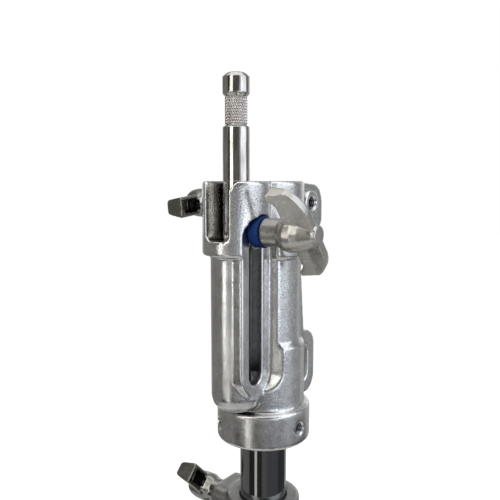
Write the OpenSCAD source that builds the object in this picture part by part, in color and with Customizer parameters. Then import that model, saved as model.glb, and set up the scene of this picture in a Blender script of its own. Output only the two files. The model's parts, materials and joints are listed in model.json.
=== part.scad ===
/* [Legs and base] */
// Leg angle from the vertical when the stand is open
leg_angle = 44.7; // [40:0.1:48]
// Length of the leg from its top pin to the caster socket
leg_len = 590; // [560:1:620]
// Distance from the top pin to the brace pin along the leg, and the length of a brace
link_len = 220; // [200:1:235]
// Distance of the top and bottom pins from the column axis
pivot_r = 46; // [45:0.5:50]
// Outer radius of a leg tube
leg_r = 12.5; // [11.5:0.25:13.5]
// Wall of a leg tube
leg_wall = 2; // [1.5:0.25:3]
// Compass direction of the first leg
leg_heading = 90; // [80:1:100]
// Width of a brace strap
brace_w = 20; // [18:0.5:22]
// Thickness of a brace strap
brace_t = 4; // [3:0.5:5]
// Radius of the pins of the folding base
base_pin_r = 4; // [3.5:0.25:4.5]

/* [Casters] */
// Radius of a caster wheel
wheel_r = 50; // [46:1:53]
// Width of the tyre
tyre_w = 26; // [22:1:28]
// Distance of the wheel axle behind the swivel axis
caster_trail = 28; // [22:1:32]
// Direction in which the casters trail
caster_heading = 205; // [180:5:230]
// Radius of the caster stem
stem_r = 11; // [9:0.5:12]
// Thickness of the fork plate
fork_t = 3; // [2.5:0.5:4]
// Height of the leg foot socket
socket_h = 54; // [50:1:60]

/* [Column and risers] */
// Outer radius of the column
column_r = 20; // [19:0.25:21]
// Wall of the column
column_wall = 2; // [1.5:0.1:2.2]
// Length of the column
column_len = 712; // [660:1:780]
// Outer radius of the middle riser
middle_r = 17.5; // [17:0.1:17.6]
// Wall of the middle riser
middle_wall = 1.9; // [1.5:0.1:2]
// Length of the middle riser
middle_len = 700; // [640:1:720]
// Outer radius of the top riser
top_r = 15; // [14.5:0.1:15.2]
// Wall of the top riser
top_wall = 2; // [1.5:0.1:3]
// Length of the top riser
top_len = 690; // [620:1:720]
// Free length of top riser between the upper collar and the head
riser_gap = 40; // [38:1:80]

/* [Collars] */
// Outer radius of the upper collar
upper_collar_r = 23.6; // [22.5:0.1:25]
// Outer radius of the lower collar
lower_collar_r = 26.5; // [25:0.1:29]
// Height of a collar
collar_h = 62; // [56:1:70]
// Length of tube that a collar holds
collar_grip = 40; // [36:1:44]
// Width of the clamp boss on a collar
clamp_boss_w = 31; // [28:1:34]
// Length of the clamp boss beyond the collar wall
clamp_boss_len = 8.4; // [6:0.2:12]
// Depth of a lock screw axis below the top of its collar
lock_drop = 11.5; // [11:0.5:13]

/* [Lock handles] */
// Half length of the cross bar
bar_half = 25; // [20:0.5:28]
// Height of the cross bar
bar_h = 13.5; // [12:0.5:15]
// Thickness of the cross bar
bar_t = 12.7; // [11:0.1:14]
// Radius of the handle hub
hub_r = 9.6; // [9:0.1:10.5]
// Radius of a lock screw
screw_r = 5; // [4:0.25:5.5]
// Radius of a pressure pad
pad_r = 6.5; // [6:0.25:7]
// Turn of the upper lock handle about its screw
upper_handle_turn = 45; // [0:5:90]
// Turn of the receiver lock handle about its screw
receiver_handle_turn = -6; // [-20:1:20]

/* [Head casting] */
// Radius of the receiver bore
receiver_r = 14.35; // [14.2:0.05:14.5]
// Depth of the receiver bore
receiver_depth = 100; // [90:1:104]
// Outer radius of the receiver barrel
barrel_r = 23.4; // [22.5:0.1:24]
// Outer radius of the barrel at its thick top
barrel_top_r = 25; // [24.5:0.1:26]
// Depth of the thick top
thick_top_h = 45; // [42:0.5:48]
// Outer radius of the barrel below the step
barrel_low_r = 26; // [25:0.1:27]
// Depth of the step
step_h = 97.6; // [95:0.1:100]
// Outer radius of the base ring
ring_r = 29.6; // [28.5:0.1:31]
// Depth of the base ring's upper edge
ring_top_h = 139.9; // [138:0.1:142]
// Height of the whole casting
casting_h = 162.4; // [159:0.1:166]
// Length of the top riser inside the casting
riser_seat_len = 49.5; // [45:0.5:52]
// Radius of the set screws
set_screw_r = 3.9; // [3:0.1:4]

/* [Baby pin] */
// Distance of the baby pin from the receiver axis
pin_offset = 28.2; // [27.6:0.1:29]
// Radius of the baby pin
pin_r = 7.9375; // [7.9:0.0125:7.95]
// Height of the raised pin above the casting
pin_rise = 61.4; // [60:0.2:66]
// Length of the pin inside the casting
pin_hold = 41; // [38:0.5:46]
// Length of the plain head of the pin
pin_head_len = 13.3; // [12:0.1:15]
// Radius of the knurled neck
pin_neck_r = 6.45; // [6.2:0.05:6.6]
// Length of the knurled neck
pin_neck_len = 16.4; // [15:0.1:18]
// Outer radius of the tube that guards the pin
guard_r = 15.3; // [14:0.1:15.5]
// Outer radius of the block at the top of that tube
block_r = 20; // [19.4:0.1:21]
// Depth of that block
block_h = 43; // [41:0.5:46]
// Depth of the tube's blind end
guard_depth = 137; // [134:0.5:140]
// Width of the finger notch
notch_w = 16.4; // [15:0.1:17]
// Depth of the finger notch
notch_h = 34; // [30:0.5:36]

/* [Pin lock] */
// Depth of the knob axis with the pin raised
knob_drop = 28.8; // [27:0.1:31]
// Travel of the pin from raised to stowed
pin_travel = 84.7; // [80:0.1:86]
// Width of the slot
slot_w = 12.4; // [11.5:0.1:13]
// Half width of the flat boss round the slot
boss_r = 13.5; // [12.5:0.1:14]
// Distance of the flat boss face from the pin axis
boss_face = 14.2; // [13.6:0.1:14.6]
// Radius of the bushing
bushing_r = 9.15; // [8.6:0.05:9.6]
// Length of the bushing
bushing_len = 7; // [6:0.1:9]
// Length of the knob's neck
neck_len = 11.3; // [9:0.1:12]
// Radius of the knob's neck
neck_r = 8.25; // [7.8:0.05:9]
// Radius of the knob's round body
knob_r = 10.6; // [10.2:0.1:12]
// Distance from the bushing to the knob's end face
knob_len = 34.2; // [32:0.2:36]
// Half span of the knob's wings
wing_half = 30.5; // [29:0.5:33]
// Thickness of the wings along their outer edge
wing_t = 5; // [4:0.5:7]
// Thickness of the wings along the edge next to the casting
wing_root_t = 8.6; // [5:0.2:10]
// Turn of the wings away from the vertical
wing_turn = 40; // [0:0.5:90]
// Radius of the stud
stud_r = 5; // [4:0.25:5.5]

/* [Fits] */
// Gap round a part that turns or slides on another
run_gap = 0.05; // [0.03:0.01:0.08]
// Gap between moving parts that face each other
face_gap = 0.3; // [0.2:0.05:0.5]

/* [Hidden] */
$fn = 96;

// Heights of the caster, from the floor up
crown_clear = 7;
crown_top = 2 * wheel_r + crown_clear + fork_t;
raceway_h = 9;
raceway_r = 24;
socket_bottom = crown_top + raceway_h + face_gap;
socket_r = stem_r + 6;
stem_top = socket_bottom + socket_h - 8;
axle_r = 5;
hub_w = tyre_w + 4;
fork_inner = hub_w / 2 + face_gap;
fork_outer = fork_inner + fork_t;
rim_r = wheel_r - 10;
pedal_x = caster_trail + 24;
pedal_z = wheel_r + 54;
pedal_pin_r = 3;
pedal_ear_r = 7;
cheek_front = 14;
cheek_r = 11;

// Heights of the folding base
leg_end_z = socket_bottom + socket_h / 2 + 2;
leg_end_r = pivot_r + leg_len * sin(leg_angle);
leg_pin_z = leg_end_z + leg_len * cos(leg_angle);
hub_pin_z = leg_pin_z - 2 * link_len * cos(leg_angle);
leg_head = 10;
leg_tube_end = leg_len - (socket_r + 4) / sin(leg_angle) - 6;
strap_y = leg_r + face_gap + brace_t / 2;
ear_t = 5;
sleeve_r = column_r + 7;
hub_h = 52;
lug_r = 9;
// Length of a drilling that passes right through
drill = 3 * column_r;

// Heights of the column and the collars
column_z = hub_pin_z - 32;
column_top = column_z + column_len;
lower_collar_z = column_top - collar_grip;
lower_collar_top = lower_collar_z + collar_h;
upper_collar_z = lower_collar_top;
upper_collar_top = upper_collar_z + collar_h;
middle_top = upper_collar_z + collar_grip;
middle_foot = middle_top - middle_len;
head_z = upper_collar_top + riser_gap + casting_h;
top_riser_top = head_z - casting_h + riser_seat_len;
top_riser_foot = top_riser_top - top_len;
upper_lock_z = upper_collar_top - lock_drop;
lower_lock_z = lower_collar_top - lock_drop;
leg_sleeve_h = 62;
leg_sleeve_z = leg_pin_z - 16;
leg_lock_z = leg_sleeve_z + leg_sleeve_h - lock_drop - 2;

// Places along a lock screw, from the tube outwards
pad_len = 5;
seat_gap = 2.5;
function pad_in(r_tube) = r_tube + run_gap;
function pad_out(r_tube) = r_tube + run_gap + pad_len;
upper_seat = upper_collar_r + clamp_boss_len + seat_gap;
lower_seat = lower_collar_r + clamp_boss_len + seat_gap;
leg_seat = sleeve_r + clamp_boss_len + seat_gap;
head_boss_end = 32;
head_seat = head_boss_end + seat_gap;
handle_len = 14;

// Places in the head, as depths below the top of the casting
guide_r = pin_r + 0.17;
pin_bore_r = guide_r + run_gap;
lock_h = 14.4;
lock_boss_r = 11;
ear_y = 36.8;
ear_h = 14.6;
ear_boss_r = 8.5;
ear_hole_r = 4.7;
ear_plate_x = 7;
ear_face = ear_plate_x + 6.5;
ear_reach = 61;
ear_corner = 12.3;
ear_fall = 2;
ear_low = 27;
ear_toe = 56;
rib_t = 6;
rib_top = 50;
rib_reach = 45.7;
rib_foot = 106;
loop_y = 40.5;
loop_depth = 126;
loop_w = 38;
loop_h = 45;
loop_bar = 9;
notch_corner = 4;
pocket_drop = boss_r - bushing_r - 0.15;
fairing_run = 12;
fairing_rise = 3.8;
ring_screw_h = casting_h - 10.9;
ring_screw_turn = -6;
bushing_x0 = boss_face + run_gap;
bushing_x1 = boss_face + bushing_len;
knob_x = bushing_x1 + face_gap;
knob_cap_r = 5.4;
wing_x = knob_x + neck_len + 2;
wing_end = knob_x + knob_len - 1;
stud_end = knob_x + 20;

casting_colour = [0.78, 0.78, 0.76];
steel_colour = [0.62, 0.62, 0.63];
chrome_colour = [0.42, 0.43, 0.44];
plastic_colour = [0.12, 0.12, 0.13];
brass_colour = [0.75, 0.62, 0.3];
zinc_colour = [0.7, 0.7, 0.7];

// A cylinder whose axis runs along +X from x0 to x1
module rod_x(r, x0, x1) {
  translate([x0, 0, 0]) rotate([0, 90, 0]) cylinder(r = r, h = x1 - x0);
}

// A cylinder whose axis runs along Y, centred
module rod_y(r, len) {
  rotate([90, 0, 0]) cylinder(r = r, h = len, center = true);
}

// A tube standing on z0
module tube(r, wall, z0, len) {
  translate([0, 0, z0]) difference() {
    cylinder(r = r, h = len);
    translate([0, 0, -1]) cylinder(r = r - wall, h = len + 2);
  }
}

// Outline of a slot between two round ends on the second axis
module stadium(r, y0, y1) {
  translate([0, y0]) circle(r);
  translate([0, y1]) circle(r);
  translate([-r, min(y0, y1)]) square([2 * r, abs(y1 - y0)]);
}

// A rectangle with round corners, centred
module rounded_rect(w, h, r) {
  square([w - 2 * r, h], center = true);
  square([w, h - 2 * r], center = true);
  for (sx = [-1, 1], sy = [-1, 1])
    translate([sx * (w / 2 - r), sy * (h / 2 - r)]) circle(r);
}

// Moves its children into the frame of the head, where z is minus the depth
module at_head() {
  translate([0, 0, head_z]) children();
}

// Moves its children onto a lock screw that points outwards along the heading
module at_lock(z, turn = 0, heading = 180) {
  translate([0, 0, z]) rotate([0, 0, heading]) rotate([turn, 0, 0]) children();
}

// Moves its children onto the knob axis, with x along the stud
module at_knob() {
  at_head() translate([0, -pin_offset, -knob_drop]) children();
}

// Moves its children into the upright plane of leg i
module at_leg(i) {
  rotate([0, 0, leg_heading + 120 * (i - 1)]) children();
}

// Moves its children onto the swivel axis of caster i, with x along the trail
module at_caster(i) {
  at_leg(i) translate([leg_end_r, 0, 0])
    rotate([0, 0, caster_heading - leg_heading - 120 * (i - 1)]) children();
}

// A lock handle: a domed hub and a cross bar with a pocket in each arm
module lock_handle(seat) {
  bar_x = seat + 11.5;
  difference() {
    union() {
      translate([seat, 0, 0]) rotate([0, 90, 0]) rotate_extrude() polygon([
        [0, 0], [hub_r - 2, 0], [hub_r - 1.6, 6], [hub_r, 10], [hub_r, 15],
        [hub_r - 0.3, 19], [hub_r - 1, 22.2], [hub_r - 2.4, 24.8], [hub_r - 4.4, 26.5],
        [hub_r - 6.6, 27.3], [0, 27.6]
      ]);
      rotate([90, 0, 0]) linear_extrude(height = 2 * bar_half, center = true)
        translate([bar_x, 0]) bar_section();
    }
    for (s = [-1, 1]) translate([bar_x - 0.5, s * (hub_r + bar_half - 4) / 2, 0])
      rotate([90, 0, 90]) linear_extrude(height = bar_t - 3)
        rounded_rect(bar_half - hub_r - 3, bar_h - 5, 1.5);
    rod_x(screw_r, seat - 1, seat + handle_len);
  }
}

// Section of the cross bar, tall towards the boss and lower outside
module bar_section() {
  hi = bar_h / 2;
  lo = bar_h / 2 - 1.5;
  polygon([[0, 1 - hi], [1, -hi], [bar_t - 1.6, 0.4 - lo], [bar_t, 1.8 - lo],
    [bar_t, lo - 1.8], [bar_t - 1.6, lo - 0.4], [1, hi], [0, hi - 1]]);
}

// A lock screw from its pad out into its handle
module lock_screw(inner, seat) {
  color(steel_colour) rod_x(screw_r, inner, seat + handle_len);
}

// A pressure pad that bears on a tube or a spigot
module lock_pad(inner, outer) {
  color(brass_colour) rod_x(pad_r, inner, outer);
}

// Bores for a pad and its screw through a boss
module lock_bore(r_tube, end) {
  rod_x(pad_r + run_gap, r_tube - 2, r_tube + pad_len + 3.5);
  rod_x(screw_r + run_gap, r_tube, end + 1);
}

module head_casting() {
  color(casting_colour) at_head() difference() {
    union() {
      barrel();
      pin_guard();
      ear();
      rear_fin();
      at_lock(-lock_h) rod_x(lock_boss_r, 0, head_boss_end);
    }
    translate([0, 0, -receiver_depth]) cylinder(r = receiver_r, h = receiver_depth + 1);
    translate([0, 0, -casting_h]) cylinder(r = top_r - top_wall, h = casting_h - receiver_depth + 1);
    translate([0, 0, -casting_h - 1]) cylinder(r = top_r, h = riser_seat_len + 1);
    translate([0, -pin_offset, -guard_depth + 5]) cylinder(r = pin_bore_r, h = guard_depth);
    translate([0, -pin_offset, 0]) rotate([90, 0, 90]) {
      linear_extrude(height = boss_face + 1) stadium(slot_w / 2, -knob_drop, -knob_drop - pin_travel);
      translate([0, 0, boss_face]) linear_extrude(height = block_r)
        stadium(boss_r, -knob_drop - pocket_drop, -knob_drop - pin_travel);
    }
    flat_fairing();
    finger_notch();
    translate([0, ear_y, -ear_h]) rod_x(ear_hole_r, -15, ear_face + 1);
    for (a = [0, 120, 240]) rotate([0, 0, a + ring_screw_turn]) translate([0, 0, -ring_screw_h])
      rod_x(set_screw_r, top_r - 1, ring_r + 1);
    at_lock(-lock_h) lock_bore(receiver_r, head_boss_end);
  }
}

// Receiver barrel with its thick top, its step and its base ring
module barrel() {
  rotate_extrude() polygon([
    [0, -casting_h], [ring_r - 1.5, -casting_h], [ring_r, -casting_h + 1.5],
    [ring_r, -ring_top_h - 1], [ring_r - 1, -ring_top_h],
    [barrel_low_r + 0.5, -ring_top_h + 0.4], [barrel_low_r, -ring_top_h + 1.9],
    [barrel_low_r, -step_h - 3.3], [barrel_r, -step_h], [barrel_r, -thick_top_h - 1.2],
    [barrel_top_r, -thick_top_h], [barrel_top_r, -1.2], [barrel_top_r - 1.2, 0], [0, 0]
  ]);
}

// Tube round the baby pin, with its top block and the boss beside the slot
module pin_guard() {
  translate([0, -pin_offset, 0]) {
    rotate_extrude() polygon([
      [0, -guard_depth], [guard_r - 9, -guard_depth], [guard_r - 4.5, -guard_depth + 1.2],
      [guard_r - 1.2, -guard_depth + 4.5], [guard_r, -guard_depth + 9],
      [guard_r, -block_h - 1.5], [guard_r + 1, -block_h], [block_r - 1, -block_h],
      [block_r, -block_h + 1], [block_r, -1], [block_r - 1, 0], [0, 0]
    ]);
    rotate([90, 0, 90]) linear_extrude(height = boss_face)
      stadium(boss_r, -knob_drop, -knob_drop - pin_travel);
  }
  translate([0, -pin_offset / 2, -block_h / 2])
    cube([2 * receiver_r, pin_offset, block_h], center = true);
  translate([0, -pin_offset / 2, -guard_depth / 2 + 2])
    cube([guard_r, pin_offset, guard_depth - 16], center = true);
}

// Slope that lets the barrel run down to the flat beside the slot
module flat_fairing() {
  foot = -knob_drop - pin_travel;
  translate([boss_face, -pin_offset, foot]) {
    rotate([0, 90, 0]) cylinder(r1 = boss_r, r2 = boss_r + fairing_rise, h = fairing_run);
    linear_extrude(height = -thick_top_h - foot) polygon([
      [0, 0], [0, boss_r], [fairing_run, boss_r + fairing_rise], [fairing_run, 0]
    ]);
  }
}

// Finger notch that opens the block towards the front
module finger_notch() {
  corner = notch_corner;
  half = notch_w / 2;
  translate([0, -pin_offset, 0]) rotate([90, 0, 0]) linear_extrude(height = 2 * block_r) {
    translate([-half, -notch_h + corner]) square([notch_w, notch_h - corner + 1]);
    translate([-half + corner, -notch_h]) square([notch_w - 2 * corner, corner + 1]);
    for (s = [-1, 1]) translate([s * (half - corner), -notch_h + corner]) circle(corner);
    polygon([[half - 1, -5], [half, -5], [half + 4, 0], [half + 4, 1], [half - 1, 1]]);
  }
}

// Tapped ear behind the receiver
module ear() {
  rotate([90, 0, 90]) {
    linear_extrude(height = ear_face) translate([ear_y, -ear_h]) circle(ear_boss_r);
    translate([0, 0, -ear_plate_x]) linear_extrude(height = 2 * ear_plate_x) {
      polygon([[10, 0], [20, 0], [ear_reach - ear_corner, -ear_fall],
        [ear_reach, -ear_corner - ear_fall], [ear_reach, -ear_low], [ear_reach - 6, -ear_low - 11],
        [barrel_r + 17, -ear_toe], [10, -ear_toe]]);
      translate([ear_reach - ear_corner, -ear_corner - ear_fall]) circle(ear_corner);
    }
  }
}

// Rib and loop behind the barrel
module rear_fin() {
  rotate([90, 0, 90]) linear_extrude(height = rib_t, center = true) difference() {
    union() {
      polygon([[10, -rib_top], [rib_reach - 5.5, -rib_top], [rib_reach, -rib_foot],
        [10, -rib_foot]]);
      translate([loop_y, -loop_depth]) rounded_rect(loop_w, loop_h, loop_bar + 3);
    }
    translate([loop_y, -loop_depth])
      rounded_rect(loop_w - 2 * loop_bar, loop_h - 2 * loop_bar, loop_bar - 3);
  }
}

module head_set_screws() {
  color(steel_colour) at_head() for (a = [0, 120, 240])
    rotate([0, 0, a + ring_screw_turn]) translate([0, 0, -ring_screw_h]) difference() {
      rod_x(set_screw_r, top_r, ring_r - 4);
      translate([ring_r - 7, 0, 0]) rotate([0, 90, 0]) cylinder(r = 2.1, h = 5, $fn = 6);
    }
}

module baby_pin() {
  neck_bottom = pin_rise - pin_head_len - pin_neck_len;
  color(steel_colour) at_head() translate([0, -pin_offset, 0]) difference() {
    rotate_extrude() polygon([
      [0, -pin_hold], [guide_r - 1, -pin_hold], [guide_r, -pin_hold + 1], [guide_r, 0],
      [pin_r, 0], [pin_r, neck_bottom - 1], [pin_neck_r, neck_bottom],
      [pin_neck_r, pin_rise - pin_head_len], [pin_r, pin_rise - pin_head_len + 1.4],
      [pin_r, pin_rise - 2.6], [pin_r - 2.2, pin_rise - 0.5], [pin_r - 3.4, pin_rise],
      [0, pin_rise]
    ]);
    translate([0, 0, -knob_drop]) rod_x(stud_r, -4, 2 * pin_r);
  }
}

module pin_lock_stud() {
  color(steel_colour) at_knob() rod_x(stud_r, -4, stud_end);
}

module pin_lock_bushing() {
  color([0.05, 0.16, 0.45]) at_knob() difference() {
    rod_x(bushing_r, bushing_x0, bushing_x1);
    rod_x(stud_r, 0, stud_end);
  }
}

module pin_lock_knob() {
  color([0.68, 0.66, 0.63]) at_knob() rotate([wing_turn, 0, 0]) difference() {
    union() {
      translate([knob_x, 0, 0]) rotate([0, 90, 0]) rotate_extrude() polygon([
        [0, 0], [neck_r, 0], [neck_r, neck_len], [knob_r - 0.8, neck_len + 1.6],
        [knob_r, neck_len + 5], [knob_r - 0.5, neck_len + 9.5], [knob_r - 1.8, neck_len + 13.5],
        [knob_r - 4, knob_len - 4.2], [knob_cap_r, knob_len - 2.4], [knob_cap_r, knob_len - 0.4],
        [knob_cap_r - 0.4, knob_len], [0, knob_len]
      ]);
      intersection() {
        rotate([90, 0, 0]) linear_extrude(height = wing_root_t, center = true) wing_outline();
        linear_extrude(height = 3 * wing_half, center = true) wing_section();
      }
    }
    rod_x(stud_r + run_gap, 0, stud_end + 0.5);
  }
}

// Outline of both wings, with the screw axis along the first axis
module wing_outline() {
  curve_r = 22;
  shoulder = 13;
  scoop_r = 8;
  difference() {
    intersection() {
      union() {
        for (s = [-1, 1]) translate([wing_end - curve_r, s * shoulder]) circle(curve_r);
        translate([wing_x, -shoulder]) square([wing_end - wing_x, 2 * shoulder]);
      }
      translate([wing_x, -wing_half]) square([wing_end - wing_x, 2 * wing_half]);
    }
    for (s = [-1, 1]) translate([wing_x - 4.3, 0])
      stadium(scoop_r, s * scoop_r, s * (wing_half - 10));
  }
}

// Section across a wing, thinner towards its outer edge
module wing_section() {
  root = wing_root_t / 2;
  edge = wing_t / 2;
  taper = 11;
  polygon([[wing_x, -root], [wing_x + taper, -edge], [wing_end, -edge], [wing_end, edge],
    [wing_x + taper, edge], [wing_x, root]]);
}

module receiver_lock_pad() {
  at_head() at_lock(-lock_h) lock_pad(receiver_r + 0.5, pad_out(receiver_r));
}

module receiver_lock_screw() {
  at_head() at_lock(-lock_h) lock_screw(pad_out(receiver_r), head_seat);
}

module receiver_lock_handle() {
  color(chrome_colour) at_head() at_lock(-lock_h, receiver_handle_turn) lock_handle(head_seat);
}

module riser_top_tube() {
  color(chrome_colour) tube(top_r, top_wall, top_riser_foot, top_len);
}

// A plastic cup over the foot of a riser, which slides in the tube round it
module riser_guide(r_in, r_out, foot) {
  color(plastic_colour) translate([0, 0, foot - 4]) difference() {
    cylinder(r = r_out, h = 34);
    translate([0, 0, 4]) cylinder(r = r_in, h = 31);
    translate([0, 0, -1]) cylinder(r = r_in - 5, h = 6);
  }
}

module riser_top_guide() {
  riser_guide(top_r, middle_r - middle_wall - run_gap, top_riser_foot);
}

module riser_middle_tube() {
  color(chrome_colour) tube(middle_r, middle_wall, middle_foot, middle_len);
}

module riser_middle_guide() {
  riser_guide(middle_r, column_r - column_wall - run_gap, middle_foot);
}

// A collar that grips one tube and clamps the next, with its lock boss towards -X
module collar(z0, r_out, r_grip, r_slide) {
  lock_z = z0 + collar_h - lock_drop;
  boss_end = r_out + clamp_boss_len;
  color(casting_colour) difference() {
    union() {
      translate([0, 0, z0]) rotate_extrude() polygon([
        [0, 0], [r_out - 1.5, 0], [r_out, 1.5], [r_out, collar_h - 1.5],
        [r_out - 1.5, collar_h], [0, collar_h]
      ]);
      at_lock(lock_z) rotate([90, 0, 90]) linear_extrude(height = boss_end)
        rounded_rect(clamp_boss_w, 2 * lock_drop - 1, 6);
    }
    translate([0, 0, z0 - 1]) cylinder(r = r_grip, h = collar_grip + 1);
    translate([0, 0, z0]) cylinder(r = r_slide + run_gap, h = collar_h + 1);
    at_lock(lock_z) lock_bore(r_slide, boss_end);
  }
}

module upper_collar() {
  collar(upper_collar_z, upper_collar_r, middle_r, top_r);
}

module upper_lock_pad() {
  at_lock(upper_lock_z) lock_pad(pad_in(top_r), pad_out(top_r));
}

module upper_lock_screw() {
  at_lock(upper_lock_z) lock_screw(pad_out(top_r), upper_seat);
}

module upper_lock_handle() {
  color(chrome_colour) at_lock(upper_lock_z, upper_handle_turn) lock_handle(upper_seat);
}

module lower_collar() {
  collar(lower_collar_z, lower_collar_r, column_r, middle_r);
}

module lower_lock_pad() {
  at_lock(lower_lock_z) lock_pad(pad_in(middle_r), pad_out(middle_r));
}

module lower_lock_screw() {
  at_lock(lower_lock_z) lock_screw(pad_out(middle_r), lower_seat);
}

module lower_lock_handle() {
  color(chrome_colour) at_lock(lower_lock_z) lock_handle(lower_seat);
}

module column_tube() {
  color(chrome_colour) tube(column_r, column_wall, column_z, column_len);
}

module column_end_plug() {
  color(plastic_colour) translate([0, 0, column_z]) {
    cylinder(r = column_r - column_wall, h = 16);
    translate([0, 0, -3]) cylinder(r = column_r, h = 3);
  }
}

// Sleeve at the foot of the column, with a lug for each pair of brace straps
module brace_hub() {
  color(casting_colour) difference() {
    union() {
      translate([0, 0, column_z]) cylinder(r = sleeve_r, h = hub_h);
      for (i = [1:3]) at_leg(i) translate([0, 0, hub_pin_z]) rotate([90, 0, 0])
        linear_extrude(height = 2 * leg_r, center = true) {
          translate([pivot_r, 0]) circle(brace_w / 2);
          translate([column_r + 2, -brace_w / 2]) square([pivot_r - column_r - 2, brace_w]);
        }
    }
    translate([0, 0, column_z - 1]) cylinder(r = column_r, h = hub_h + 2);
    for (i = [1:3]) at_leg(i) translate([pivot_r, 0, hub_pin_z]) rod_y(base_pin_r, drill);
  }
}

// A pin with a head at each end, across the plane of a leg
module headed_pin(half) {
  rod_y(base_pin_r, 2 * half);
  for (s = [-1, 1]) translate([0, s * (half + 1.5), 0]) rod_y(7, 3);
}

module brace_hub_pins() {
  color(steel_colour) for (i = [1:3]) at_leg(i) translate([pivot_r, 0, hub_pin_z])
    headed_pin(strap_y + brace_t / 2 + face_gap);
}

// Sliding collar that carries the tops of the legs, with its lock between two legs
module leg_collar() {
  boss_end = sleeve_r + clamp_boss_len;
  color(casting_colour) difference() {
    union() {
      translate([0, 0, leg_sleeve_z]) cylinder(r = sleeve_r, h = leg_sleeve_h);
      for (i = [1:3]) at_leg(i) for (s = [-1, 1])
        translate([0, s * (leg_r + face_gap + ear_t / 2), leg_pin_z]) rotate([90, 0, 0])
          linear_extrude(height = ear_t, center = true) {
            translate([pivot_r, 0]) circle(lug_r);
            translate([column_r + 2, -lug_r]) square([pivot_r - column_r - 2, 2 * lug_r]);
          }
      at_lock(leg_lock_z, 0, leg_heading + 180) rotate([90, 0, 90])
        linear_extrude(height = boss_end) rounded_rect(clamp_boss_w, 2 * lock_drop - 1, 6);
    }
    translate([0, 0, leg_sleeve_z - 1]) cylinder(r = column_r + run_gap, h = leg_sleeve_h + 2);
    for (i = [1:3]) at_leg(i) translate([pivot_r, 0, leg_pin_z]) rod_y(base_pin_r, drill);
    at_lock(leg_lock_z, 0, leg_heading + 180) lock_bore(column_r, boss_end);
  }
}

module leg_collar_pins() {
  color(steel_colour) for (i = [1:3]) at_leg(i) translate([pivot_r, 0, leg_pin_z])
    headed_pin(leg_r + face_gap + ear_t);
}

module leg_lock_pad() {
  at_lock(leg_lock_z, 0, leg_heading + 180) lock_pad(pad_in(column_r), pad_out(column_r));
}

module leg_lock_screw() {
  at_lock(leg_lock_z, 0, leg_heading + 180) lock_screw(pad_out(column_r), leg_seat);
}

module leg_lock_handle() {
  color(chrome_colour) at_lock(leg_lock_z, 0, leg_heading + 180) lock_handle(leg_seat);
}

// A pair of straps from the hub lug up to the leg
module brace(i) {
  color(zinc_colour) at_leg(i) translate([pivot_r, 0, hub_pin_z]) rotate([0, leg_angle, 0])
    for (s = [-1, 1]) translate([0, s * strap_y, 0]) rotate([90, 0, 0])
      linear_extrude(height = brace_t, center = true) difference() {
        stadium(brace_w / 2, 0, link_len);
        circle(base_pin_r + run_gap);
        translate([0, link_len]) circle(base_pin_r);
      }
}

module brace_bolt(i) {
  color(steel_colour) at_leg(i) translate([pivot_r, 0, hub_pin_z]) rotate([0, leg_angle, 0])
    translate([0, 0, link_len]) headed_pin(strap_y + brace_t / 2);
}

// Moves its children onto the axis of leg i, with z running down from its top pin
module along_leg(i) {
  at_leg(i) translate([pivot_r, 0, leg_pin_z]) rotate([0, 180 - leg_angle, 0]) children();
}

module leg_tube(i) {
  color(chrome_colour) along_leg(i) difference() {
    translate([0, 0, -leg_head]) cylinder(r = leg_r, h = leg_tube_end + leg_head);
    translate([0, 0, -leg_head - 1])
      cylinder(r = leg_r - leg_wall, h = leg_tube_end + leg_head + 2);
    rod_y(base_pin_r + run_gap, drill);
    translate([0, 0, link_len]) rod_y(base_pin_r + run_gap, drill);
  }
}

// Casting that joins the end of a leg to the upright caster socket
module leg_foot(i) {
  grip = 46;
  color(casting_colour) difference() {
    union() {
      at_leg(i) translate([leg_end_r, 0, socket_bottom]) cylinder(r = socket_r, h = socket_h);
      along_leg(i) translate([0, 0, leg_tube_end - grip])
        cylinder(r = leg_r + 4, h = leg_len - leg_tube_end + grip - 4);
    }
    along_leg(i) translate([0, 0, leg_tube_end - grip - 1]) cylinder(r = leg_r, h = grip + 1);
    at_leg(i) translate([leg_end_r, 0, 0]) {
      cylinder(r = stem_r + run_gap, h = stem_top + face_gap);
      translate([0, 0, socket_bottom - drill]) cylinder(r = raceway_r + 6, h = drill);
    }
  }
}

// Fork of a caster, with its raceway and its stem
module caster_fork(i) {
  color(zinc_colour) at_caster(i) difference() {
    union() {
      translate([0, 0, crown_top]) cylinder(r = raceway_r, h = raceway_h);
      cylinder_from(stem_r, crown_top, stem_top);
      translate([0, 0, crown_top - fork_t / 2])
        linear_extrude(height = fork_t, center = true) {
          circle(raceway_r);
          translate([0, -fork_outer]) square([caster_trail + 4, 2 * fork_outer]);
        }
      for (s = [-1, 1]) translate([0, s * (fork_inner + fork_t / 2), 0]) rotate([90, 0, 0])
        linear_extrude(height = fork_t, center = true) fork_outline();
    }
    translate([caster_trail, 0, wheel_r]) rod_y(axle_r, drill);
    translate([pedal_x, 0, pedal_z]) rod_y(pedal_pin_r + run_gap, drill);
  }
}

// Outline of a fork cheek, from the crown down to the axle and back to the pedal pin
module fork_outline() {
  polygon([[-cheek_front, crown_top], [-cheek_front, crown_top - 6],
    [caster_trail - cheek_r, wheel_r], [caster_trail + cheek_r, wheel_r],
    [pedal_x + pedal_ear_r, pedal_z], [pedal_x, crown_top]]);
  translate([caster_trail, wheel_r]) circle(cheek_r);
  translate([pedal_x, pedal_z]) circle(pedal_ear_r);
}

// An upright cylinder from z0 to z1
module cylinder_from(r, z0, z1) {
  translate([0, 0, z0]) cylinder(r = r, h = z1 - z0);
}

// Moves its children to the wheel centre of caster i, with z along the axle
module at_wheel(i) {
  at_caster(i) translate([caster_trail, 0, wheel_r]) rotate([90, 0, 0]) children();
}

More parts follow.
